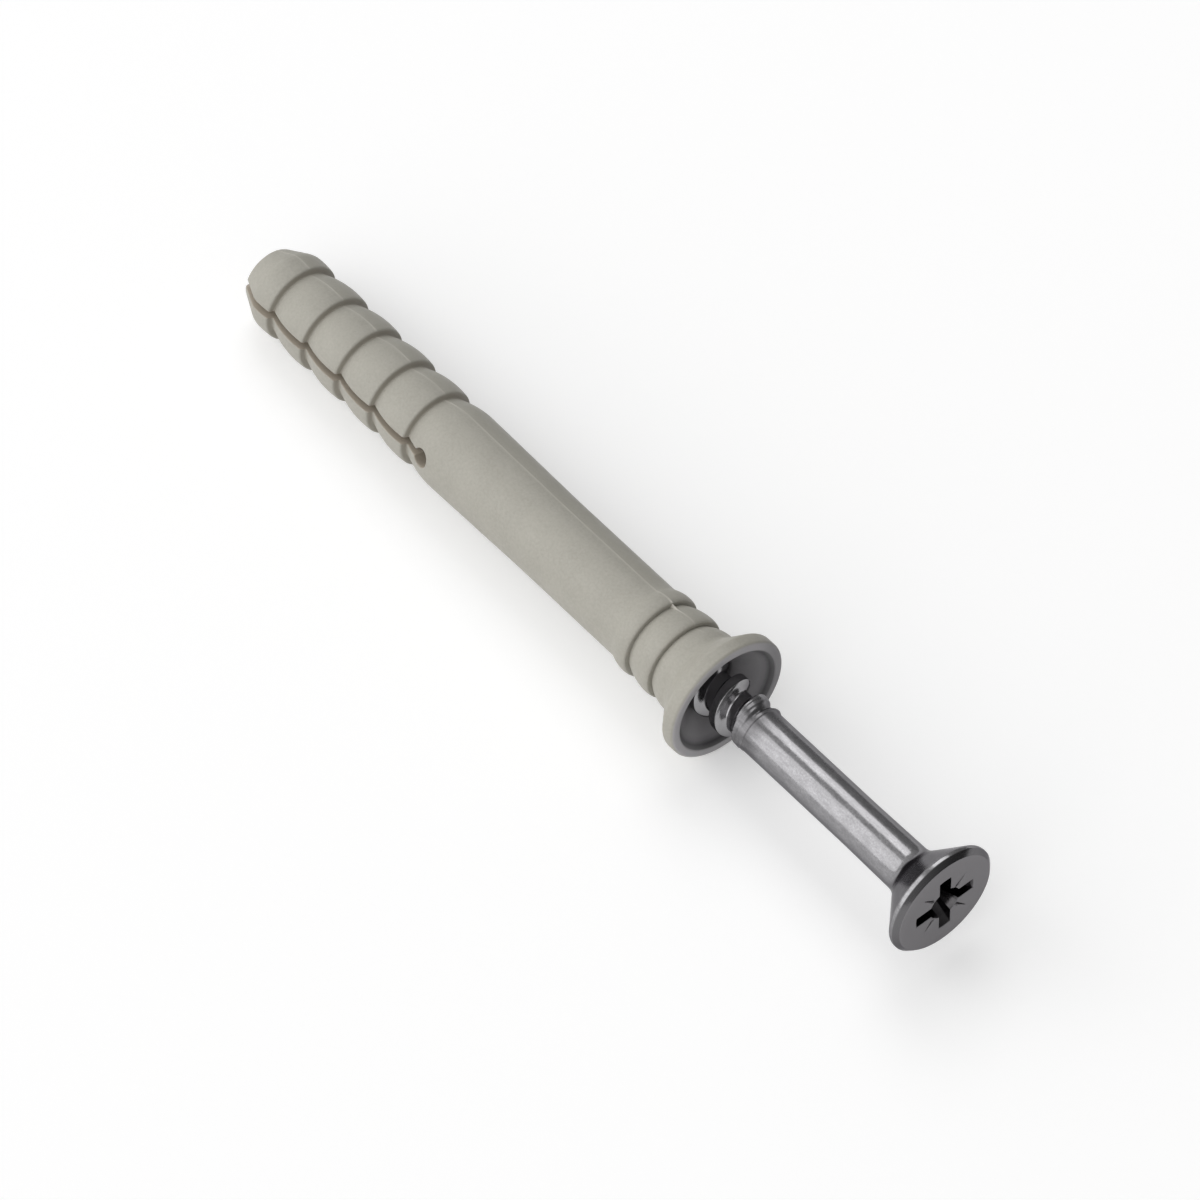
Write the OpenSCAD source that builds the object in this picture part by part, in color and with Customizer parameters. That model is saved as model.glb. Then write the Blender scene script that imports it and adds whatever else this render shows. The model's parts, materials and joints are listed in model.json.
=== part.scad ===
// Hammer fixing: a split nylon sleeve with a countersunk steel drive screw started in its bore.
// It lies on its side, nose towards -X and screw head towards +X, resting on the first barb
// and the collar rim. Lengths along the fixing are counted from the end of the nose.

/* [Sleeve] */
// Length of the sleeve, nose to collar front
sleeve_len = 48.7; // [46:0.1:60]
// Diameter of the parallel shank
shank_d = 5.96; // [5.7:0.02:6.1]
// Distance over which the shank tapers from the barb diameter to its own
shank_taper = 9.4; // [4:0.1:10]
// Corner radius at the end of the nose
nose_round = 0.3; // [0.1:0.05:0.5]
// Diameter of the nose at its end
nose_d = 4.5; // [3.6:0.1:5]
// Length of the nose cone
nose_len = 2; // [1.7:0.1:2.5]

/* [Barbs] */
// Number of barbs, the nose being the first
barb_count = 5; // [2:1:6]
// Diameter over the barbs
barb_d = 6.25; // [6.14:0.01:6.4]
// Distance from one barb edge to the next
barb_pitch = 3.68; // [3:0.02:3.9]
// Distance from the nose end to the edge of the first barb
first_edge = 3.57; // [3.4:0.01:4.2]
// Radius of the arc that swells each barb along its length
barb_arc = 7.1; // [6.5:0.1:12]
// Distance from the widest point of a barb to its edge
barb_lead = 0.95; // [0.5:0.05:1.05]
// Rounding of the barb and ridge edges
edge_round = 0.18; // [0.05:0.01:0.3]

/* [Expansion slot] */
// Width of the slot that splits the tip in two
slot_w = 0.58; // [0.2:0.02:0.8]
// Diameter of the round hole that ends the slot
relief_d = 1.4; // [0.9:0.05:1.8]
// Distance from the last barb edge to the middle of that hole
relief_offset = 1.9; // [1.2:0.1:3]
// Angle of the slot above the horizontal
slot_roll = 18.8; // [0:0.1:90]

/* [Collar] */
// Diameter of the collar
collar_d = 9.6; // [9:0.1:11]
// Thickness of the collar rim
rim_t = 1; // [0.7:0.05:1.5]
// Rounding of the collar rim
rim_round = 0.28; // [0.1:0.01:0.32]
// Diameter of the countersunk mouth in the collar
mouth_d = 8.3; // [7.6:0.05:8.4]
// Number of locking ridges under the collar
ridge_count = 2; // [1:1:3]
// Diameter over the locking ridges
ridge_d = 6.5; // [6.3:0.05:6.9]
// Distance from one ridge to the next
ridge_pitch = 2.33; // [1.9:0.01:2.4]
// Radius of the arc that swells each ridge along its length
ridge_arc = 3.05; // [2.9:0.05:4]
// Distance from the widest point of a ridge to its edge
ridge_lead = 0.45; // [0.35:0.05:0.6]

/* [Drive screw] */
// Outside diameter of the screw thread
thread_d = 4; // [3.6:0.05:4.1]
// Diameter of the smooth shank
screw_d = 3.38; // [3.2:0.02:3.5]
// Length of the smooth shank between thread and head
plain_len = 14.6; // [10:0.1:17]
// Diameter where the shank meets the head
neck_d = 3.52; // [3.5:0.02:3.8]
// Length over which the shank widens to that diameter
flare_len = 5; // [2:0.1:8]
// Length over which the thread runs out on the shank
runout_len = 0.5; // [0.3:0.1:1]
// Length of the point
point_len = 4; // [3:0.1:6]
// Diameter of the blunt end of the point
point_d = 0.3; // [0.1:0.05:0.6]

/* [Screw head] */
// Diameter of the head
head_d = 8.42; // [8.2:0.02:8.8]
// Height of the straight edge of the head
head_rim = 0.3; // [0.2:0.05:0.8]
// Chamfer between that edge and the struck face
head_chamfer = 0.36; // [0.1:0.02:0.44]
// Diameter over the wings of the cross recess
recess_d = 4.85; // [4:0.05:5.2]
// Diameter over the wings at the bottom of the recess
recess_end_d = 2.4; // [1.8:0.1:2.6]
// Depth of the wings
recess_depth = 2.2; // [1.6:0.1:2.4]
// Width of each wing
wing_w = 0.95; // [0.7:0.05:1.1]
// Diameter of the round core of the recess
core_d = 2.5; // [2:0.1:2.8]
// Width of the four marks between the wings
mark_w = 0.2; // [0.1:0.02:0.3]
// Depth of those marks
mark_depth = 0.14; // [0.05:0.01:0.3]
// Distance of the outer end of each mark from the middle of the head
mark_reach = 2.5; // [1.8:0.05:2.9]

/* [Assembly] */
// Distance that the screw can still be driven in
drive_travel = 20.5; // [5:0.1:24]
// Running clearance around the thread in the bore
run_clear = 0.06; // [0.03:0.01:0.08]
// Gap left between the driven head and its seat
seat_gap = 0.1; // [0.05:0.01:0.3]
// Wall left in front of the driven point
nose_wall = 0.95; // [0.6:0.05:1.5]

/* [Hidden] */
$fn = 96;

// Both countersinks, the collar underside and the head share one 90 degree cone
cone_half_angle = 45;
cone_rise = tan(cone_half_angle);
// Steps in each swelling arc and in each rounded edge
arc_steps = 10;
round_steps = 4;
// Overshoot of cutting shapes
cut = 1;

shank_r = shank_d / 2;
barb_r = barb_d / 2;
ridge_r = ridge_d / 2;
collar_r = collar_d / 2;
mouth_r = mouth_d / 2;
nose_r = nose_d / 2;
thread_r = thread_d / 2;
screw_r = screw_d / 2;
neck_r = neck_d / 2;
head_r = head_d / 2;
point_r = point_d / 2;
bore_r = thread_r + run_clear;

// Places along the sleeve
first_top = first_edge - barb_lead;
last_edge = first_edge + (barb_count - 1) * barb_pitch;
shank_top = last_edge + barb_pitch - barb_lead;
relief_at = last_edge + relief_offset;
rim_back = sleeve_len - rim_t;
collar_foot = rim_back - (collar_r - ridge_r) / cone_rise;
cup_foot = sleeve_len - (mouth_r - bore_r) / cone_rise;

// Places along the screw, seated and then as it stands before driving
seat_at = sleeve_len + (head_r - mouth_r) / cone_rise + seat_gap;
head_cone_end = seat_at + drive_travel;
face_at = head_cone_end + head_rim + head_chamfer;
neck_at = head_cone_end - (head_r - neck_r) / cone_rise;
thread_end = neck_at - plain_len;
tip_at = nose_wall + drive_travel;
point_slope = (thread_r - point_r) / point_len;

// The bore ends in a cone parallel to the screw's point
bore_end = nose_wall - run_clear;
bore_end_r = point_r + run_clear;
bore_foot = bore_end + (bore_r - bore_end_r) / point_slope;

// The fixing rests on the swell of its first barb and on the back rounding of the collar rim:
// the floor is the common tangent of those two arcs
rim_arc_at = rim_back + rim_round * tan(cone_half_angle / 2);
rest_run = rim_arc_at - first_top;
rest_rise = (collar_r - rim_round) - (barb_r - barb_arc);
rest_tilt = atan2(rest_rise, rest_run)
    - asin((barb_arc - rim_round) / norm([rest_run, rest_rise]));
axis_height = barb_arc + (barb_r - barb_arc) * cos(rest_tilt) - first_top * sin(rest_tilt);
rear_reach = nose_round * (cos(rest_tilt) - 1) - (nose_r - nose_round) * sin(rest_tilt);
front_reach = face_at * cos(rest_tilt) + (head_r - head_chamfer) * sin(rest_tilt);
mid_reach = (rear_reach + front_reach) / 2;

// Points [radius, place] on a circular arc about c, from one angle to another;
// angle 0 points outwards and 90 towards the head
function arc(c, r, from, to, steps) =
    [for (i = [0:steps])
        let (t = from + (to - from) * i / steps)
        [c[0] + r * cos(t), c[1] + r * sin(t)]];

// A swell that rises from start to its widest point at top, then falls to a rounded edge
function swell(top, top_r, r, start, lead) =
    let (
        centre = [top_r - r, top],
        turn = asin((lead - edge_round) / (r - edge_round)),
        edge_r = centre[0] + (r - edge_round) * cos(turn)
    )
    concat(
        arc(centre, r, asin((start - top) / r), turn, arc_steps),
        arc([edge_r, top + lead - edge_round], edge_round, turn, 90, round_steps)
    );

// How far before its widest point an arc of radius r that tops at top_r stands at base_r
function rise_run(top_r, base_r, r) = sqrt(pow(r, 2) - pow(r - (top_r - base_r), 2));

function nose_outline() = concat(
    [[0, 0]],
    arc([nose_r - nose_round, nose_round], nose_round, -90, -cone_half_angle / 2, round_steps)
);

function barb_outline(k) =
    let (top = first_top + k * barb_pitch)
    swell(top, barb_r, barb_arc, k == 0 ? nose_len : top + barb_lead - barb_pitch, barb_lead);

function shank_outline() = concat(
    arc([barb_r - barb_arc, shank_top], barb_arc, asin((last_edge - shank_top) / barb_arc), 0, arc_steps),
    [[shank_r, shank_top + shank_taper]]
);

// Ridges are counted back from the collar; the one furthest from it rises out of the shank
function ridge_outline(k) =
    let (
        top = collar_foot - k * ridge_pitch,
        run = k == ridge_count ? rise_run(ridge_r, shank_r, ridge_arc) : ridge_pitch - ridge_lead
    )
    swell(top, ridge_r, ridge_arc, top - run, ridge_lead);

function collar_outline() = concat(
    arc([ridge_r - ridge_arc, collar_foot], ridge_arc,
        asin((ridge_lead - ridge_pitch) / ridge_arc), 0, arc_steps),
    arc([collar_r - rim_round, rim_arc_at], rim_round, -cone_half_angle, 0, round_steps),
    arc([collar_r - rim_round, sleeve_len - rim_round], rim_round, 0, 90, round_steps)
);

function bore_outline() = [
    [mouth_r, sleeve_len],
    [bore_r, cup_foot],
    [bore_r, bore_foot],
    [bore_end_r, bore_end],
    [0, bore_end]
];

function sleeve_outline() = concat(
    nose_outline(),
    [for (k = [0:barb_count - 1]) each barb_outline(k)],
    shank_outline(),
    [for (k = [ridge_count:-1:1]) each ridge_outline(k)],
    collar_outline(),
    bore_outline()
);

function screw_outline() = [
    [0, tip_at],
    [point_r, tip_at],
    [thread_r, tip_at + point_len],
    [thread_r, thread_end - runout_len],
    [screw_r, thread_end],
    [screw_r, neck_at - flare_len],
    [neck_r, neck_at],
    [head_r, head_cone_end],
    [head_r, head_cone_end + head_rim],
    [head_r - head_chamfer, face_at],
    [0, face_at]
];

// Lays a shape that stands on its axis down into the resting position
module lie_down() {
    translate([-mid_reach, 0, axis_height]) rotate([0, 90 - rest_tilt, 0]) children();
}

// The slot through both walls of the tip, with the round hole that stops it from tearing on
module expansion_slot() {
    span = barb_d + 2 * cut;
    rotate([0, 0, 90 - slot_roll]) {
        translate([-span / 2, -slot_w / 2, -cut]) cube([span, slot_w, relief_at + cut]);
        translate([0, 0, relief_at]) rotate([0, 90, 0]) cylinder(d = relief_d, h = span, center = true);
    }
}

// Cross recess: two wings that taper with depth, a round core, and four marks between the wings
module drive_recess() {
    wing_taper = (recess_d - recess_end_d) / 2 / recess_depth;
    core_taper = wing_taper / 2;
    translate([0, 0, face_at]) {
        intersection() {
            translate([0, 0, -recess_depth])
                cylinder(r1 = recess_end_d / 2, r2 = recess_d / 2 + wing_taper * cut, h = recess_depth + cut);
            for (turn = [0, 90])
                rotate([0, 0, turn]) translate([-recess_d, -wing_w / 2, -recess_depth - cut])
                    cube([2 * recess_d, wing_w, recess_depth + 2 * cut]);
        }
        translate([0, 0, -recess_depth])
            cylinder(r1 = core_d / 2 - core_taper * recess_depth, r2 = core_d / 2 + core_taper * cut,
                h = recess_depth + cut);
        for (turn = [45:90:315])
            rotate([0, 0, turn]) translate([0, -mark_w / 2, -mark_depth])
                cube([mark_reach, mark_w, mark_depth + cut]);
    }
}

// One nylon moulding: barbed, split tip, plain shank, two locking ridges and a countersunk collar
module sleeve() {
    color([0.69, 0.68, 0.63]) lie_down() difference() {
        rotate_extrude() polygon(sleeve_outline());
        expansion_slot();
    }
}

// One zinc-plated steel screw, headed, cross-recessed and rolled; the thread is drawn at its outside diameter
module drive_screw() {
    color([0.46, 0.46, 0.47]) lie_down() difference() {
        rotate_extrude() polygon(screw_outline());
        drive_recess();
    }
}

sleeve();
drive_screw();
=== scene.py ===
"""A hammer fixing: a split, barbed nylon sleeve with a countersunk steel drive screw started in its bore.
It lies on a pale floor, seen from above its head end. Sizes are in millimetres unless said otherwise."""

import json
import math

import bmesh
import bpy
import numpy as np
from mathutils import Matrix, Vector


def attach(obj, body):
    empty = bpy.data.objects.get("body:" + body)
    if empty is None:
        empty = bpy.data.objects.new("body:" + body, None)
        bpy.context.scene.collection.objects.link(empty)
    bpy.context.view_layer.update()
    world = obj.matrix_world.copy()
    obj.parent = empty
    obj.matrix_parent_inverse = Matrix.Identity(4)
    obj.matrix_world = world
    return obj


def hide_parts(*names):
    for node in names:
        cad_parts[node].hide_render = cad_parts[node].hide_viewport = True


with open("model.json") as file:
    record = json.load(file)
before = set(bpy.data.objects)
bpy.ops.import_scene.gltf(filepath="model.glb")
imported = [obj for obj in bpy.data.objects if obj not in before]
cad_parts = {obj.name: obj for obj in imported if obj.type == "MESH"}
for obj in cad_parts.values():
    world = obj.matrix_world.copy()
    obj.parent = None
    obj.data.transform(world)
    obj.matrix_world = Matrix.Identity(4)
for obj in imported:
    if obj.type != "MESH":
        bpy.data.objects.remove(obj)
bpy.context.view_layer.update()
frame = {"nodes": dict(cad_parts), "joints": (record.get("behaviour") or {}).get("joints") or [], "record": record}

# Sleeve
# One injection moulding in warm grey nylon, from a two-part mould with a core pin for the bore and two
# blades for the slot. It is pushed through the batten into a drilled hole; its collar stops it there.
MM = 0.001
mounts = {mount["name"]: np.array(mount["pos_m"]) for mount in frame["record"]["mounts"]}
axis = -np.array(frame["joints"][0]["axis"])
axis /= np.linalg.norm(axis)
side = np.array([0.0, 1.0, 0.0])
rise = np.cross(axis, side)


def node_points(name):
    """The corners of a node of the frame, as an array of points in metres."""
    vertices = frame["nodes"][name].data.vertices
    points = np.empty(3 * len(vertices))
    vertices.foreach_get("co", points)
    return points.reshape(-1, 3)


nose_end = (node_points("sleeve") @ axis).min()
origin = mounts["drive_recess"] + (nose_end - mounts["drive_recess"] @ axis) * axis


def lay(place, radius, turn):
    """Points of the lying fixing: place counts along its axis from the nose end, radius from the axis, and
    turn is the angle about it in radians, 0 straight up and a quarter turn towards +Y."""
    place, radius, turn = np.broadcast_arrays(place, radius, turn)
    across = np.cos(turn)[..., None] * rise + np.sin(turn)[..., None] * side
    return origin + MM * (place[..., None] * axis + radius[..., None] * across)


def unlay(points):
    """The place, radius and turn of points, the inverse of lay."""
    local = (points - origin) / MM
    up, out = local @ rise, local @ side
    return local @ axis, np.hypot(up, out), np.arctan2(out, up)


def arc(place, radius, bow, start, end, count):
    """Outline points (place, radius) on a circle of radius bow about a centre; at angle t, in degrees, a
    point lies bow sin t further along and bow cos t further out: 0 is outwards, 90 towards the head."""
    t = np.radians(np.linspace(start, end, count))
    return np.column_stack([place + bow * np.sin(t), radius + bow * np.cos(t)])


def bend(first, corner, last, count):
    """A quadratic curve from first to last that is drawn towards corner, so it rounds that corner off."""
    t = np.linspace(0, 1, count)[:, None]
    return (1 - t) ** 2 * np.array(first) + 2 * t * (1 - t) * np.array(corner) + t**2 * np.array(last)


def line(first, last, count):
    """Evenly spaced outline points on a straight line, both ends included."""
    return np.linspace(np.array(first, float), np.array(last, float), count)


def swell_radius(place, top, top_radius, bow):
    """Radius at a place along a swell: a circle of radius bow whose crown stands at top."""
    return top_radius - bow + np.sqrt(bow**2 - (place - top) ** 2)


def barb(top, start, count):
    """One barb: its bow from start up over the crown at top, then a rounded edge that leans back."""
    turn = math.degrees(math.asin((barb_lead - barb_round) / (barb_bow - barb_round)))
    first = math.degrees(math.asin((start - top) / barb_bow))
    edge_radius = barb_radius - barb_bow + (barb_bow - barb_round) * math.cos(math.radians(turn))
    return np.vstack([
        arc(top, barb_radius - barb_bow, barb_bow, first, turn, count),
        arc(top + barb_lead - barb_round, edge_radius, barb_round, turn, barb_lean, 6)[1:],
    ])


def foot(edge, following):
    """The inner corner behind a barb: down the leaning face, then round into the point that follows."""
    slope = math.tan(math.radians(90 - barb_lean))
    corner_radius = following[1] - foot_drop
    corner = (edge[0] + slope * (edge[1] - corner_radius), corner_radius)
    start = np.array(corner) + (np.array(edge) - corner) * 0.45
    return bend(start, corner, following, 6)[:-1]


def ridge(start, top, crease):
    """One ridge: it rises from start, levels out at its top and drops over a rounded edge to a crease."""
    crown, edge = (top, ridge_radius), (crease[0] - 0.02, ridge_radius - 0.01)
    rise_corner = (0.5 * (start[0] + top), ridge_radius)
    under_edge = (crease[0] - 0.01, ridge_radius - 0.17)
    return np.vstack([
        bend(start, rise_corner, crown, 9),
        bend(crown, edge, under_edge, 10)[1:],
        line(under_edge, crease, 3)[1:],
    ])


sleeve_len, nose_radius, nose_round, nose_len = 48.7, 2.25, 0.3, 2.0
barb_count, barb_radius, barb_pitch, first_edge = 5, 3.125, 3.68, 3.57
barb_bow, barb_lead, barb_round, barb_lean, foot_run, foot_drop = 7.1, 0.95, 0.18, 80, 0.16, 0.042
shank_radius, shank_taper = 2.98, 9.4
ridge_radius, ridge_pitch, ridge_rise, crease_run, crease_radius = 3.25, 2.33, 1.15, 0.46, 2.8
collar_radius, rim_thick, rim_round, mouth_radius, mouth_round = 4.8, 1.0, 0.28, 4.15, 0.07
bore_radius, bore_end, bore_end_radius, bore_slope = 2.06, 0.89, 0.21, 0.4625
slot_half, relief_radius, relief_offset, slot_turn = 0.29, 0.7, 1.9, math.radians(-71.2)

first_top = first_edge - barb_lead
edges = first_edge + barb_pitch * np.arange(barb_count)
shank_top = edges[-1] + barb_pitch - barb_lead
relief_at = edges[-1] + relief_offset
slot_end = relief_at + relief_radius
collar_foot = sleeve_len - rim_thick - (collar_radius - ridge_radius)
cup_foot = sleeve_len - (mouth_radius - bore_radius)


def slot_gap(place):
    """Half the width of the slot at a place: constant, then the round relief hole, then nothing."""
    hole = np.sqrt(np.clip(relief_radius**2 - (place - relief_at) ** 2, 0, None))
    return np.where(place < relief_at, np.maximum(slot_half, hole), hole)


def shank_outline():
    """The last rise out of the barbs, crowded at the relief hole, then the taper and the plain shank."""
    hole_turn = np.linspace(math.acos(math.sqrt(1 - (slot_half / relief_radius) ** 2)), math.pi, 27)
    place = np.concatenate([
        np.linspace(edges[-1] + foot_run, relief_at - relief_radius * math.cos(hole_turn[0]), 7)[:-1],
        relief_at - relief_radius * np.cos(hole_turn),
        np.linspace(slot_end, shank_top + shank_taper, 8)[1:],
        np.linspace(shank_top + shank_taper, ridges[0] - ridge_rise, 9)[1:],
    ])
    taper = (place - shank_top) / shank_taper
    tapered = barb_radius + (shank_radius - barb_radius) * np.clip(taper, 0, 1)
    bowed = swell_radius(np.minimum(place, shank_top), shank_top, barb_radius, barb_bow)
    return np.column_stack([place, np.where(place < shank_top, bowed, tapered)])


def chain(*stretches):
    """Joins outline stretches, leaving out a point that repeats the one before it."""
    points = np.vstack(stretches)
    apart = np.linalg.norm(np.diff(points, axis=0), axis=1) > 1e-6
    return points[np.concatenate([[True], apart])]


ridges = collar_foot - ridge_pitch * np.array([2, 1])
creases = [(top + crease_run, crease_radius) for top in ridges]
nose_corner = (nose_len, swell_radius(nose_len, first_top, barb_radius, barb_bow))
nose_arc = arc(nose_round, nose_radius - nose_round, nose_round, -90, -22.5, 6)
crease_start = np.array(nose_corner) + 0.14 * (nose_arc[-1] - nose_corner)
crease_end = (nose_len + 0.3, swell_radius(nose_len + 0.3, first_top, barb_radius, barb_bow))
outer = [nose_arc, line(nose_arc[-1], crease_start, 7)[1:]]
outer.append(bend(crease_start, nose_corner, crease_end, 7)[1:])
outer.append(barb(first_top, nose_len + 0.3, 7)[1:])
for edge in edges[:-1]:
    next_barb = barb(edge + barb_pitch - barb_lead, edge + foot_run, 13)
    outer += [foot(outer[-1][-1], next_barb[0]), next_barb]
shank = shank_outline()
outer += [foot(outer[-1][-1], shank[0]), shank]
outer += [ridge(shank[-1], ridges[0], creases[0]), ridge(creases[0], ridges[1], creases[1])]
under = bend(creases[1], (creases[1][0] + 0.7, ridge_radius), (collar_foot - 0.3, ridge_radius), 9)
rim_back = sleeve_len - rim_thick + rim_round * math.tan(math.radians(22.5))
rim_arc = arc(rim_back, collar_radius - rim_round, rim_round, -45, 0, 6)
cone_start = line((collar_foot, ridge_radius), rim_arc[0], 8)
outer += [under, bend(under[-1], (collar_foot, ridge_radius), cone_start[1], 5)[1:]]
outer += [cone_start[1:], rim_arc[1:]]
outer.append(arc(sleeve_len - rim_round, collar_radius - rim_round, rim_round, 0, 90, 8))
outer = chain(*outer)
front = chain(
    line((sleeve_len, collar_radius - rim_round), (sleeve_len, mouth_radius + mouth_round), 4),
    bend((sleeve_len, mouth_radius + mouth_round), (sleeve_len, mouth_radius),
         (sleeve_len - mouth_round, mouth_radius - mouth_round), 5),
    line((sleeve_len - mouth_round, mouth_radius - mouth_round), (cup_foot + 0.1, bore_radius + 0.1), 10),
    bend((cup_foot + 0.1, bore_radius + 0.1), (cup_foot, bore_radius), (cup_foot - 0.12, bore_radius), 5),
    line((cup_foot - 0.12, bore_radius), (slot_end, bore_radius), 12),
)


def ramp(values, start, end):
    """0 below start, 1 above end and a smooth rise between them; start may lie above end."""
    t = np.clip((values - start) / (end - start), 0, 1)
    return t * t * (3 - 2 * t)


def half_columns():
    """Shares of the way round one half of the sleeve, crowded at the slot's edges and the mould's seam."""
    edge = slot_soft / (math.pi * barb_radius) * np.array([0, 0.12, 0.45, 1])
    seam = 0.5 + seam_width / (math.pi * barb_radius) * np.array([-2, -1, -0.4, 0, 0.4, 1, 2])
    plain = np.linspace(edge[-1], seam[0], 27)[1:-1]
    return np.concatenate([edge, plain, seam, 1 - plain[::-1], 1 - edge[::-1]])


slot_soft, seam_width, seam_height = 0.06, 0.05, 0.03
flash_fill, flash_run, flash_pale_run = 0.7, 0.5, 0.5 / 0.6
wall_points, bore_every = 5, 5
columns = half_columns()


def half_turn(radius, gap, half):
    """The turn of each column on rows of a given radius and slot gap: the columns share the way from one
    slot wall, which lies gap off the slot's middle plane, round to the other wall."""
    first = np.arcsin(np.clip(gap / radius, 0, 1))[:, None]
    return slot_turn + half * math.pi + first + columns * (math.pi - 2 * first)


def at_flash(place, run):
    """1 where a flash of the mould bridges the first crease, falling off along the sleeve as a bell."""
    return np.exp(-(((place - creases[0][0]) / run) ** 2))


def outer_skin(outline, half):
    """One half of the outside: the outline carried round, its edges rounded off at the slot. The mould's
    seam stands along its middle as a low ridge that comes and goes, and it half fills the first crease."""
    place, radius = outline[:, :1], outline[:, 1:]
    gap = slot_gap(outline[:, 0])
    turn = half_turn(outline[:, 1], gap, half)
    from_wall = np.minimum(columns, 1 - columns) * math.pi * radius
    inside = np.clip(slot_soft - from_wall, 0, slot_soft)
    rounding = (slot_soft - np.sqrt(slot_soft**2 - inside**2)) * np.clip(gap / slot_half, 0, 1)[:, None]
    from_seam = (columns - 0.5) * math.pi * radius
    uneven = 0.6 + 0.4 * np.sin(1.9 * place + half) * np.sin(0.47 * place + 2)
    height = seam_height * uneven * ramp(place, collar_foot, ridges[1])
    height = height + flash_fill * np.clip(ridge_radius - radius, 0, None) * at_flash(place, flash_run)
    seam = height * np.exp(-((from_seam / seam_width) ** 2))
    return lay(place, radius - rounding + seam, turn)


def slot_walls(outline, skin, half):
    """The two flat walls of the slot in one half: each row runs from the outside's edge straight in to the
    bore, or to the middle where the nose is solid. The bore has fewer rows, so several may end on one."""
    landing = outline[inner_rows[np.searchsorted(inner_rows, np.arange(len(outline)), "right") - 1]]
    bore_gap = slot_gap(landing[:, 0])
    radius = np.maximum(bore_at(landing[:, 0]), bore_gap)
    turns = half_turn(radius, bore_gap, half)
    walls = []
    for column in (0, -1):
        inner = lay(landing[:, 0], radius, turns[:, column])
        step = np.linspace(0, 1, wall_points)[None, :, None]
        walls.append(skin[: len(outline), column, None] * (1 - step) + inner[:, None] * step)
    return walls


def bore_at(place):
    """Radius of the bore: nothing in the solid nose, then a cone like the screw's point, then parallel."""
    cone = np.clip(bore_end_radius + bore_slope * (place - bore_end), bore_end_radius, bore_radius)
    return np.where(place < bore_end, 0, cone)


slot_count = int(np.searchsorted(outer[:, 0], slot_end - 1e-6)) + 1
slotted = outer[:slot_count]
in_hole = np.flatnonzero(slotted[:, 0] > relief_at - relief_radius)
cone_end = bore_end + (bore_radius - bore_end_radius) / bore_slope
near_ends = np.searchsorted(slotted[:, 0], [bore_end, cone_end])
inner_rows = [np.arange(0, slot_count, bore_every), near_ends - 1, near_ends, in_hole]
inner_rows = np.unique(np.concatenate(inner_rows))
bore = slotted[inner_rows[np.searchsorted(slotted[inner_rows, 0], bore_end) - 1 :], 0][::-1]
bore_gap = slot_gap(bore)
bore_rows = np.maximum(bore_at(bore), bore_gap)
cap = np.hypot(np.linspace(0, nose_arc[0, 1], wall_points), slot_half)
grids = []
for half in (0, 1):
    skin = outer_skin(outer, half)
    walls = slot_walls(slotted, skin, half)
    front_turn = half_turn(front[:, 1], np.zeros(len(front)), half)
    cap_skin = lay(0.0, cap[:, None], half_turn(cap, slot_half, half))
    cap_skin[-1] = skin[0]
    cap_skin[:, 0], cap_skin[:, -1] = walls[0][0, ::-1], walls[1][0, ::-1]
    grids += [skin, lay(front[:, :1], front[:, 1:], front_turn), cap_skin]
    grids.append(lay(bore[:, None], bore_rows[:, None], half_turn(bore_rows, bore_gap, half)))
    grids += walls


def skin_mesh(name, grids, sharp):
    """A piece from grids of points: each grid is a sheet of four-cornered faces, sheets that share an edge
    are sewn there, and the closed skin is turned outwards. Edges over the sharp angle stay crisp."""
    points, faces, count = [], [], 0
    for grid in grids:
        rows, cols = grid.shape[:2]
        index = count + np.arange(rows * cols).reshape(rows, cols)
        corners = [index[:-1, :-1], index[:-1, 1:], index[1:, 1:], index[1:, :-1]]
        faces.append(np.stack(corners, axis=-1).reshape(-1, 4))
        points.append(grid.reshape(-1, 3))
        count += rows * cols
    mesh = bpy.data.meshes.new(name)
    mesh.from_pydata(np.vstack(points).tolist(), [], np.vstack(faces).tolist())
    sewn = bmesh.new()
    sewn.from_mesh(mesh)
    bmesh.ops.remove_doubles(sewn, verts=sewn.verts, dist=sew_within)
    bmesh.ops.dissolve_degenerate(sewn, edges=sewn.edges, dist=sew_within)
    bmesh.ops.recalc_face_normals(sewn, faces=sewn.faces)
    sewn.to_mesh(mesh)
    sewn.free()
    mesh.shade_smooth()
    mesh.set_sharp_from_angle(angle=math.radians(sharp))
    piece = bpy.data.objects.new(name, mesh)
    bpy.context.scene.collection.objects.link(piece)
    return piece


def paint(piece, name, values):
    """Stores one number for each point of a piece, for its material to read."""
    layer = piece.data.attributes.new(name, "FLOAT", "POINT")
    layer.data.foreach_set("value", np.asarray(values, np.float32))


def mesh_points(piece):
    """The points of a piece, as an array in metres."""
    points = np.empty(3 * len(piece.data.vertices))
    piece.data.vertices.foreach_get("co", points)
    return points.reshape(-1, 3)


sew_within = 1e-7
sleeve = skin_mesh("nylon_sleeve", grids, 32)
# Where the nylon looks different: the material below reads each of these by its name
place, radius, turn = unlay(mesh_points(sleeve))
depth = np.interp(place, outer[:, 0], outer[:, 1]) - radius
in_cup = (place > cup_foot - 0.5) & (depth > 0.05) & (radius < mouth_radius + 0.01)
to_mouth = mouth_radius - radius
# Painted shade: inside the cup the nylon is painted a darker, cooler grey; the material also makes it smoother
paint(sleeve, "cup", in_cup * ramp(sleeve_len - place, -0.01, 0.12))
# Painted shade: a nearly black ring just under the cup's mouth
paint(sleeve, "lip_shade", in_cup * ramp(to_mouth, 0.02, 0.1) * ramp(to_mouth, 0.55, 0.4))
# Painted light: the collar's front face is painted a lighter, cooler grey than the nylon round it
paint(sleeve, "front", ramp(place, sleeve_len - 0.12, sleeve_len - 0.02))
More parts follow.
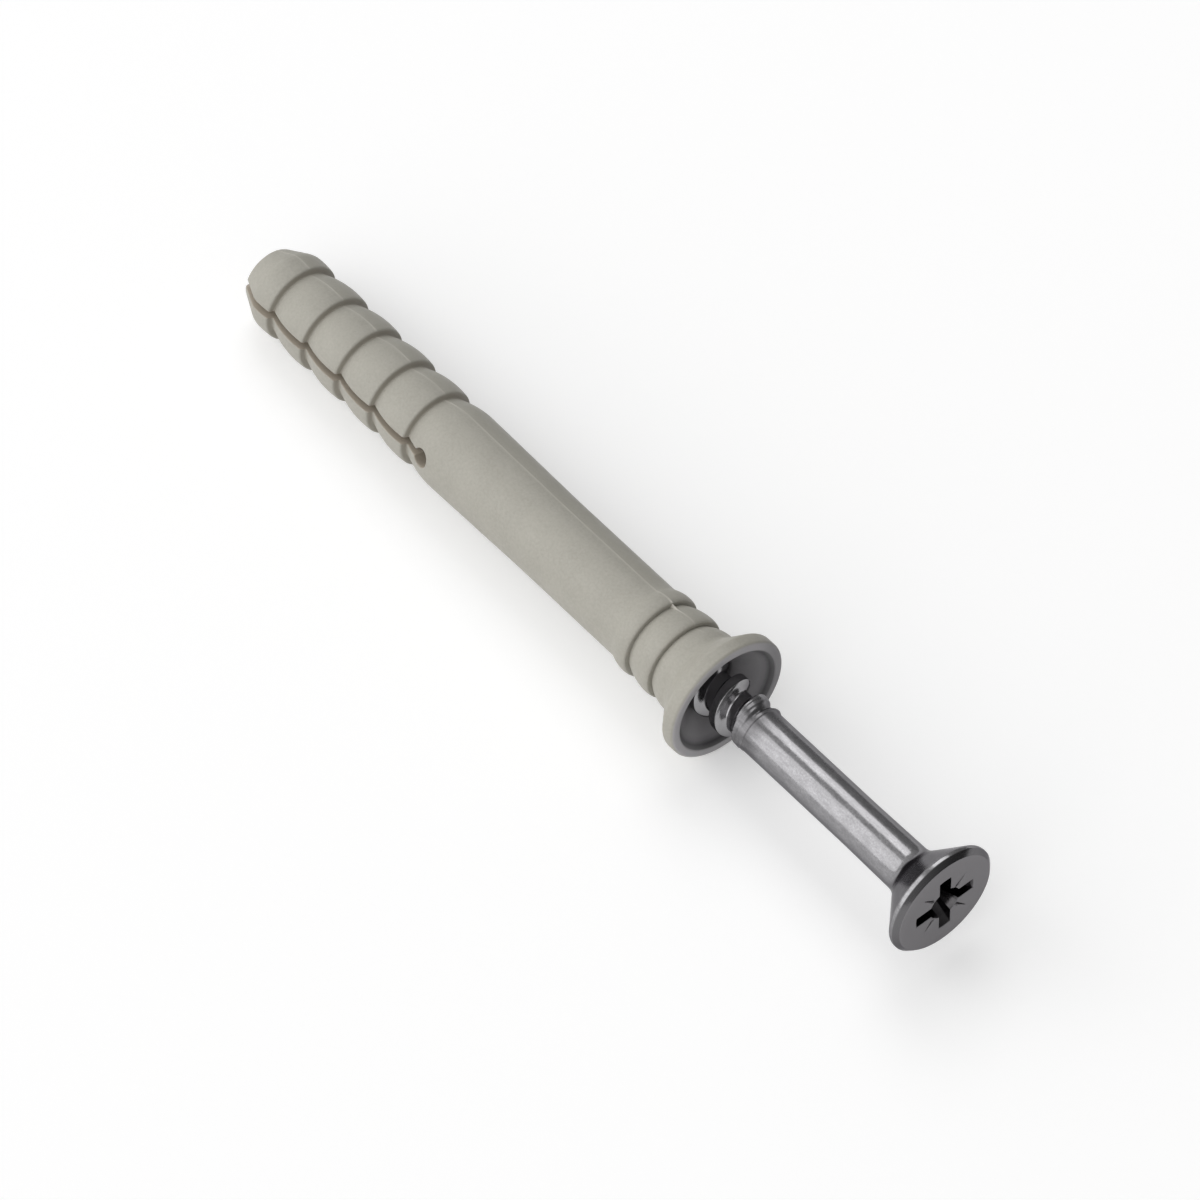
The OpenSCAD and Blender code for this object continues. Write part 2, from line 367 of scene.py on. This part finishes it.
# Painted shade: the crease behind each barb is painted darker
behind_barb = np.min(np.abs(place[:, None] - edges - 0.05), axis=1)
paint(sleeve, "step", ramp(behind_barb, 0.13, 0.03) * (depth < 0.1))
# Painted light: inside the slot the nylon is painted a paler brown, for light through its thin walls
paint(sleeve, "slot", ramp(depth, 0.0, 0.05) * ramp(place, 0.01, 0.08) * (place < slot_end + 0.1))
from_seam = np.mod(turn - slot_turn - math.pi / 2 + math.pi, 2 * math.pi) - math.pi
to_seam = np.minimum(np.abs(from_seam), math.pi - np.abs(from_seam)) * radius
before_collar = ramp(place, collar_foot, ridges[1])
seam_share = ramp(to_seam, 2.2 * seam_width, 0.6 * seam_width) * (depth < 0.05) * before_collar
paint(sleeve, "seam", seam_share * (0.5 + 0.5 * at_flash(place, flash_pale_run)))
# Painted shade: beyond the mould's seam the nylon is painted a little darker
paint(sleeve, "far_half_shade", ramp(np.sin(from_seam) * radius, -0.05, 0.05) * (depth < 0.1) * before_collar)
on_rim = ramp(place, sleeve_len - rim_thick - 0.2, sleeve_len) * (depth < 0.7)
paint(sleeve, "rim_shade", ramp(np.sin(from_seam) * radius, 0.8, 3.6) * on_rim)
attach(sleeve, "sleeve")
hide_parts("sleeve")


def new_material(name):
    """An empty material with its principled shader and that shader's node tree."""
    material = bpy.data.materials.new(name)
    material.use_nodes = True
    tree = material.node_tree
    return material, tree, tree.nodes["Principled BSDF"]


def add_node(tree, kind, settings=(), **inputs):
    """A node with its settings and its inputs; an input is a value, or an output socket to link."""
    node = tree.nodes.new("ShaderNode" + kind)
    for name, value in dict(settings).items():
        setattr(node, name, value)
    for name, value in inputs.items():
        socket = node.inputs[int(name[1:])] if name[1:].isdigit() else node.inputs[name.replace("_", " ")]
        if isinstance(value, bpy.types.NodeSocket):
            tree.links.new(value, socket)
        else:
            socket.default_value = value
    return node


def mask(tree, name):
    """The numbers that paint stored under that name."""
    return add_node(tree, "Attribute", {"attribute_name": name}).outputs["Fac"]


def mix(tree, share, first, second):
    """A colour between first and second."""
    node = add_node(tree, "Mix", {"data_type": "RGBA"}, _0=share)
    for socket, value in ((node.inputs[6], first), (node.inputs[7], second)):
        if isinstance(value, bpy.types.NodeSocket):
            tree.links.new(value, socket)
        else:
            socket.default_value = (*value, 1)
    return node.outputs[2]


def noise(tree, vector, scale, detail, roughness=0.5):
    """Cloudy noise from 0 to 1."""
    node = add_node(tree, "TexNoise", Vector=vector, Scale=scale, Detail=detail, Roughness=roughness)
    return node.outputs["Fac"]


def compute(tree, operation, *values):
    """The result of one math node."""
    inputs = {f"_{place}": value for place, value in enumerate(values)}
    return add_node(tree, "Math", {"operation": operation}, **inputs).outputs[0]


def in_range(tree, value, low, high):
    """A value from 0.3 to 0.7, where most of a noise lies, carried to low and high."""
    node = add_node(tree, "MapRange", Value=value, From_Min=0.3, From_Max=0.7, To_Min=low, To_Max=high)
    return node.outputs["Result"]


def grain_group():
    """A fine grain for both materials: two noises, the second a third as fine as the first, given out as a
    value from 0 to 1 and as a normal roughened by them. Scale is in grains a metre, Depth in metres."""
    group = bpy.data.node_groups.new("grain", "ShaderNodeTree")
    for name, default in (("Scale", 5000.0), ("Depth", 0.00002)):
        socket = group.interface.new_socket(name, in_out="INPUT", socket_type="NodeSocketFloat")
        socket.default_value = default
    group.interface.new_socket("Value", in_out="OUTPUT", socket_type="NodeSocketFloat")
    group.interface.new_socket("Normal", in_out="OUTPUT", socket_type="NodeSocketVector")
    given, out = group.nodes.new("NodeGroupInput"), group.nodes.new("NodeGroupOutput")
    places = add_node(group, "TexCoord").outputs["Object"]
    fine = noise(group, places, given.outputs["Scale"], 3, 0.6)
    coarse = noise(group, places, compute(group, "MULTIPLY", given.outputs["Scale"], 0.3), 2)
    height = compute(group, "MULTIPLY_ADD", coarse, 1.4, fine)
    bump = add_node(group, "Bump", Strength=0.35, Distance=given.outputs["Depth"], Height=height)
    group.links.new(fine, out.inputs["Value"])
    group.links.new(bump.outputs["Normal"], out.inputs["Normal"])
    return group


grain_nodes = grain_group()
nylon, tree, shader = new_material("nylon")
places = add_node(tree, "TexCoord").outputs["Object"]
clouds = noise(tree, places, 420, 4)
pits = noise(tree, places, 1500, 2)
grain = add_node(tree, "Group", {"node_tree": grain_nodes}, Scale=5200.0, Depth=0.00003)
tone = mix(tree, in_range(tree, clouds, 0, 1), (0.347, 0.334, 0.291), (0.374, 0.36, 0.314))
tone = mix(tree, in_range(tree, grain.outputs["Value"], 0, 0.3), tone, (0.52, 0.50, 0.45))
# painted shade on the far half
tone = mix(tree, compute(tree, "MULTIPLY", mask(tree, "far_half_shade"), 0.4), tone, (0.36, 0.348, 0.30))
tone = mix(tree, mask(tree, "seam"), tone, (0.50, 0.48, 0.43))
# painted shade in the creases behind the barbs
tone = mix(tree, mask(tree, "step"), tone, (0.34, 0.315, 0.268))
# painted light inside the slot
tone = mix(tree, mask(tree, "slot"), tone, (0.48, 0.43, 0.36))
# painted light on the front face
tone = mix(tree, mask(tree, "front"), tone, (0.46, 0.447, 0.458))
tone = mix(tree, compute(tree, "MULTIPLY", mask(tree, "rim_shade"), 0.6), tone, (0.20, 0.193, 0.205))
# painted shade inside the cup
tone = mix(tree, mask(tree, "cup"), tone, (0.29, 0.28, 0.292))
# painted shade under the mouth
tone = mix(tree, mask(tree, "lip_shade"), tone, (0.065, 0.063, 0.067))
tree.links.new(tone, shader.inputs["Base Color"])
worn = in_range(tree, pits, 0.46, 0.6)
polish = add_node(tree, "Mix", _0=mask(tree, "cup"), _2=worn, _3=0.35)
tree.links.new(polish.outputs[0], shader.inputs["Roughness"])
tree.links.new(grain.outputs["Normal"], shader.inputs["Normal"])
shader.inputs["Specular IOR Level"].default_value = 0.4
sleeve.data.materials.append(nylon)

# Drive screw
# One steel screw, cold headed with a cross recess, rolled with a coarse thread and zinc plated. It is
# started in the sleeve at the works, and the hammer drives it home until its head sits in the collar's cup.
face_at = (mounts["drive_recess"] - origin) @ axis / MM
head_radius, head_rim, head_chamfer, edge_soft, back_soft = 4.21, 0.3, 0.36, 0.05, 0.12
recess_radius, recess_end_radius, recess_depth, wing_half = 2.425, 1.2, 2.2, 0.475
core_radius, core_shrink = 1.25, 0.46
mark_reach, mark_half, mark_depth = 2.5, 0.16, 0.14
screw_radius, neck_radius, neck_soft, neck_run, flare_len, plain_len = 1.69, 1.76, 0.35, 0.6, 5.0, 14.6
crest_radius, root_radius, pitch, crest_at, crest_turn = 1.97, 1.31, 2.127, 48.5, math.radians(64.3)
tip_at, tip_radius, point_len, fade_len = 21.45, 0.15, 4.0, 2.6
scar_depth, scar_pitch, scar_run = 0.02, 0.34, 1.6
burr_height, burr_at, burr_run, burr_spread = 0.18, 51.9, 0.3, 0.32

head_back = face_at - head_chamfer - head_rim
neck_at = head_back - (head_radius - neck_radius)
thread_end = neck_at - plain_len


def recess_turns(radius, core):
    """Turns of the columns through one quarter of the cross, from one wing's middle to the next: along the
    tip of the wing, down its side, round the core with the mark in its middle, and up the next side."""
    tip, corner = np.arcsin(wing_half / radius), np.arcsin(wing_half / core)
    share = np.array([0.2, 0.45, 0.7, 0.85, 0.92, 0.96, 1])
    half = np.concatenate([np.linspace(0, tip, 5), np.linspace(tip, corner, 5)[1:],
                           corner + share * (math.pi / 4 - corner)])
    return np.concatenate([half, math.pi / 2 - half[-2:0:-1]])


def around(turns):
    """The columns of one quarter repeated all the way round, closed on the first."""
    return np.concatenate([turns + quarter * math.pi / 2 for quarter in range(4)] + [[2 * math.pi]])


def recess_edge(turn, radius, core):
    """Distance from the middle to the edge of the cross: the wing's tip, its straight side, or the core."""
    off = np.abs(np.mod(turn + math.pi / 4, math.pi / 2) - math.pi / 4)
    return np.clip(wing_half / np.maximum(np.sin(off), 1e-9), core, radius)


def recess_rows():
    """The cross recess from its floor up to the struck face: wings and core narrow with depth."""
    depths = recess_depth * np.array([1, 1, 0.97, 0.75, 0.5, 0.25, 0.03, 0])
    shrink = np.array([0, 0.96, 1, 1, 1, 1, 1, 1.02])
    rows = []
    for depth, share in zip(depths, shrink):
        radius = recess_radius + (recess_end_radius - recess_radius) * depth / recess_depth
        core = core_radius * (1 - core_shrink * depth / recess_depth)
        turns = around(recess_turns(radius, core))
        rows.append(lay(face_at - depth, share * recess_edge(turns, radius, core), turns))
    return np.stack(rows)


screw_columns = around(recess_turns(recess_radius, core_radius))


def face_rows():
    """The struck face, from the edge of the cross out to the chamfer, with four small marks pressed in."""
    start = 1.02 * recess_edge(screw_columns, recess_radius, core_radius)
    share = np.array([0, 0.08, 0.2, 0.33, 0.44, 0.49, 0.7, 1])[:, None]
    radius = start + share * (head_radius - head_chamfer - edge_soft - start)
    off = np.abs(np.mod(screw_columns, math.pi / 2) - math.pi / 4) * radius
    width = mark_half * np.clip((mark_reach - radius) / (mark_reach - core_radius), 0, 1)
    in_mark = (share > 0) * (radius < mark_reach)
    marks = mark_depth * np.clip(1 - off / np.maximum(width, 1e-6), 0, 1) * in_mark
    return lay(face_at - marks, radius, screw_columns)


chamfer_edge = (face_at, head_radius - head_chamfer)
chamfer_foot = (face_at - head_chamfer, head_radius)
slope = np.array([-1, 1]) * edge_soft / math.sqrt(2)
cone_top = (head_back - back_soft * 0.7, head_radius - back_soft * 0.7)
cone_foot = (neck_at + neck_soft, neck_radius + neck_soft)
flare_top, flare_end = (neck_at - neck_run, neck_radius - 0.01), (neck_at - flare_len, screw_radius)
body = chain(
    bend((face_at, chamfer_edge[1] - edge_soft), chamfer_edge, chamfer_edge + slope, 4),
    bend(chamfer_foot - slope, chamfer_foot, (chamfer_foot[0] - edge_soft, head_radius), 4),
    bend((head_back + back_soft, head_radius), (head_back, head_radius), cone_top, 7),
    line(cone_top, cone_foot, 8),
    bend(cone_foot, (neck_at, neck_radius), flare_top, 8),
    line(flare_top, flare_end, 6),
    line(flare_end, (thread_end, screw_radius), 8),
)


def thread_shape(phase):
    """Height of the thread, 0 at the root and 1 at the crest, over one pitch counted from the crest's
    middle: a flat crest, two flanks and a rounded root."""
    off = np.abs(np.mod(phase + 0.5, 1) - 0.5)
    return 1 - ramp(off, 0.13, 0.34)


def thread_rows():
    """The threaded stretch on a lattice that winds with the thread: every row is one phase of it, a pitch
    further along after each turn, held back at the two ends, where the height fades out. The rolling dies
    left fine scars, a sine along the run-out, and one small burr, a bell on its far side."""
    per_turn = 30
    length = thread_end - tip_at
    rows = np.arange(int(per_turn * (length / pitch + 2)))[:, None] / per_turn - 1
    place = np.clip(thread_end - pitch * (rows + screw_columns / (2 * math.pi)), tip_at, thread_end)
    phase = (place - crest_at) / pitch - (crest_turn - screw_columns) / (2 * math.pi)
    near_end = ramp(place, thread_end - fade_len, thread_end)
    cone = np.clip((place - tip_at) / point_len, 0, 1)
    root = root_radius + (screw_radius - root_radius) * near_end
    crest = crest_radius + (screw_radius - crest_radius) * near_end
    radius = root + (crest - root) * thread_shape(phase)
    from_end = (thread_end - place) / scar_run
    scars = scar_depth * np.sin(2 * math.pi * place / scar_pitch + screw_columns)
    burr_turn = np.mod(screw_columns - crest_turn + math.pi, 2 * math.pi) - math.pi
    burr = burr_height * np.exp(-(((place - burr_at) / burr_run) ** 2) - (burr_turn / burr_spread) ** 2)
    radius = radius + (scars * ramp(from_end, 1.2, 0.8) + burr) * np.clip(4 * from_end, 0, 1)
    return lay(place, tip_radius + (radius - tip_radius) * cone, screw_columns)


tip_rows = lay(np.full((3, 1), tip_at), np.array([[tip_radius], [0.6 * tip_radius], [0]]), screw_columns)
body_rows = lay(body[:, :1], body[:, 1:], screw_columns)
screw = skin_mesh("steel_drive_screw", [recess_rows(), face_rows(), body_rows, thread_rows(), tip_rows], 30)
# Where the steel looks different, as on the sleeve
place, radius, _ = unlay(mesh_points(screw))
# The cross recess is painted near black: partly a darker coating, partly painted shade
in_recess = (radius < mark_reach + 0.05) * (place > neck_at + 0.2)
paint(screw, "recess", ramp(face_at - place, 0.0, 0.05) * in_recess)
# Painted reflection: the head's chamfer is painted dark, for the dark room it mirrors
paint(screw, "chamfer", ramp(place, head_back + head_rim - 0.06, head_back + head_rim + 0.03))
on_face = radius < head_radius - head_chamfer + 0.02
paint(screw, "face", ramp(place, face_at - 0.06, face_at - 0.02) * on_face)
# Painted shade: the thread, and its roots a little more, are painted darker, for the dark cup they mirror
paint(screw, "thread", ramp(place, thread_end + 0.1, thread_end - 0.6))
paint(screw, "root", ramp(radius, 1.8, 1.4) * (place < thread_end))
past_end = place - thread_end
paint(screw, "run_out", ramp(past_end, 0.9, 0) * ramp(past_end, -1.9, -1.2))
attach(screw, "screw")
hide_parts("drive_screw")

steel, tree, shader = new_material("zinc_steel")
places = add_node(tree, "TexCoord").outputs["Object"]
tilt = math.atan2(axis[2], axis[0])
along = add_node(tree, "Mapping", Vector=places, Rotation=(0, tilt, 0), Scale=(800, 2800, 2800))
mottle = noise(tree, along.outputs["Vector"], 1, 4, 0.65)
speckle = add_node(tree, "Group", {"node_tree": grain_nodes}, Scale=7000.0, Depth=0.000003)
tone = mix(tree, in_range(tree, mottle, 0, 1), (0.295, 0.291, 0.30), (0.425, 0.42, 0.432))
tone = mix(tree, in_range(tree, speckle.outputs["Value"], 0.4, 0), tone, (0.16, 0.157, 0.162))
# Painted shade: the steel is painted darker where it is seen edge-on
grazing_shade = add_node(tree, "LayerWeight", Blend=0.5).outputs["Facing"]
tone = mix(tree, compute(tree, "MULTIPLY", grazing_shade, 0.66), tone, (0.15, 0.147, 0.152))
# painted shade on the thread
tone = mix(tree, compute(tree, "MULTIPLY", mask(tree, "thread"), 0.6), tone, (0.32, 0.316, 0.323))
# painted reflection on the chamfer
tone = mix(tree, mask(tree, "chamfer"), tone, (0.15, 0.147, 0.152))
tone = mix(tree, mask(tree, "face"), tone, (0.232, 0.226, 0.233))
# painted shade in the thread's roots
tone = mix(tree, mask(tree, "root"), tone, (0.30, 0.295, 0.303))
scuffs = compute(tree, "MULTIPLY", mask(tree, "run_out"), in_range(tree, mottle, 0.9, 0.45))
tone = mix(tree, scuffs, tone, (0.12, 0.117, 0.122))
# partly painted shade in the recess
tone = mix(tree, mask(tree, "recess"), tone, (0.08, 0.077, 0.08))
tree.links.new(tone, shader.inputs["Base Color"])
worn = in_range(tree, speckle.outputs["Value"], 0.14, 0.24)
worn = add_node(tree, "Mix", _0=scuffs, _2=worn, _3=0.36).outputs[0]
rough = add_node(tree, "Mix", _0=mask(tree, "face"), _2=worn, _3=0.42).outputs[0]
tree.links.new(rough, shader.inputs["Roughness"])
tree.links.new(speckle.outputs["Normal"], shader.inputs["Normal"])
shader.inputs["Metallic"].default_value = 1.0
shader.inputs["Specular Tint"].default_value = (0.52, 0.513, 0.526, 1)
screw.data.materials.append(steel)

# Floor
# A plain pale table top, wide enough to fill every view from above. Where it is seen or mirrored, a little
# glow lifts it to white; that glow lights nothing.
floor_half = 3.0
corners = [(-floor_half, -floor_half, 0), (floor_half, -floor_half, 0), (floor_half, floor_half, 0),
           (-floor_half, floor_half, 0)]
floor_mesh = bpy.data.meshes.new("floor")
floor_mesh.from_pydata(corners, [], [(0, 1, 2, 3)])
floor = bpy.data.objects.new("floor", floor_mesh)
bpy.context.scene.collection.objects.link(floor)
pale, tree, shader = new_material("pale_floor")
tree.nodes.remove(shader)
diffuse = add_node(tree, "BsdfDiffuse", Color=(0.82, 0.82, 0.82, 1))
lit = add_node(tree, "LightPath")
mirrored = compute(tree, "MAXIMUM", lit.outputs["Is Glossy Ray"], lit.outputs["Is Transmission Ray"])
seen = compute(tree, "MAXIMUM", lit.outputs["Is Camera Ray"], mirrored)
glow = add_node(tree, "Emission", Color=(1, 1, 1, 1), Strength=compute(tree, "MULTIPLY", seen, 0.29))
both = add_node(tree, "AddShader", _0=diffuse.outputs[0], _1=glow.outputs[0])
tree.links.new(both.outputs[0], tree.nodes["Material Output"].inputs["Surface"])
floor_mesh.materials.append(pale)

# Light
# A large soft key from the near left, a narrow strip beyond the top, and a room that is darker on the far
# side. The screw mirrors all three.
scene = bpy.context.scene


def softbox(name, lean, width, length, radiance):
    """A rectangular soft light with its long side along the fixing: lean is its angle from overhead towards
    +Y, in degrees, and it stands nearer the nose so that the screw mirrors it. Its power is radiance times
    pi times area."""
    lean = math.radians(lean)
    lamp = bpy.data.lights.new(name, "AREA")
    lamp.shape = "RECTANGLE"
    lamp.size, lamp.size_y = length, width
    lamp.energy = radiance * math.pi * width * length
    light = bpy.data.objects.new(name, lamp)
    light.location = (-light_shift, light_distance * math.sin(lean), light_distance * math.cos(lean))
    light.rotation_euler = (-lean, 0, 0)
    light.visible_camera = False
    scene.collection.objects.link(light)


light_distance, light_shift = 1.5, 0.8
softbox("key", -52.5, 2.0, 3.0, 1.0)
softbox("strip", 24.0, 0.9, 1.3, 1.65)
world = bpy.data.worlds.new("room")
world.use_nodes = True
scene.world = world
tree = world.node_tree
towards = add_node(tree, "TexCoord").outputs["Generated"]
away = add_node(tree, "VectorMath", {"operation": "DOT_PRODUCT"}, _0=towards, _1=(0.6, 0.8, 0))
level = add_node(tree, "MapRange", Value=away.outputs["Value"], From_Min=-1.0, To_Min=0.85, To_Max=0.08)
tree.links.new(level.outputs["Result"], tree.nodes["Background"].inputs["Strength"])
tree.nodes["Background"].inputs["Color"].default_value = (1, 1, 1, 1)
scene.view_settings.view_transform = "Standard"

# Camera
# A long lens above the head end; the fixing runs across the picture from the upper left to the lower right.
picture, focal, sensor = 1200, 6400, 36.0
azimuth, elevation, distance, aim_at = math.radians(50.1), math.radians(54.0), 425.0, 36.57
aim_x, aim_y = 609.06, 590.17
back = np.array([math.sin(azimuth) * math.cos(elevation), -math.cos(azimuth) * math.cos(elevation),
                 math.sin(elevation)])
right = np.cross([0, 0, 1.0], back)
right /= np.linalg.norm(right)
up = np.cross(back, right)
pixel = distance / focal
aim = lay(aim_at, 0.0, 0.0)
centre = aim + MM * pixel * ((picture / 2 - aim_x) * right + (aim_y - picture / 2) * up)
lens = bpy.data.cameras.new("camera")
lens.sensor_width = sensor
lens.lens = sensor * focal / picture
lens.clip_start, lens.clip_end = 0.01, 20
camera = bpy.data.objects.new("camera", lens)
camera.location = centre + MM * distance * back
camera.rotation_euler = Vector(back).to_track_quat("Z", "Y").to_euler()
scene.collection.objects.link(camera)
scene.camera = camera
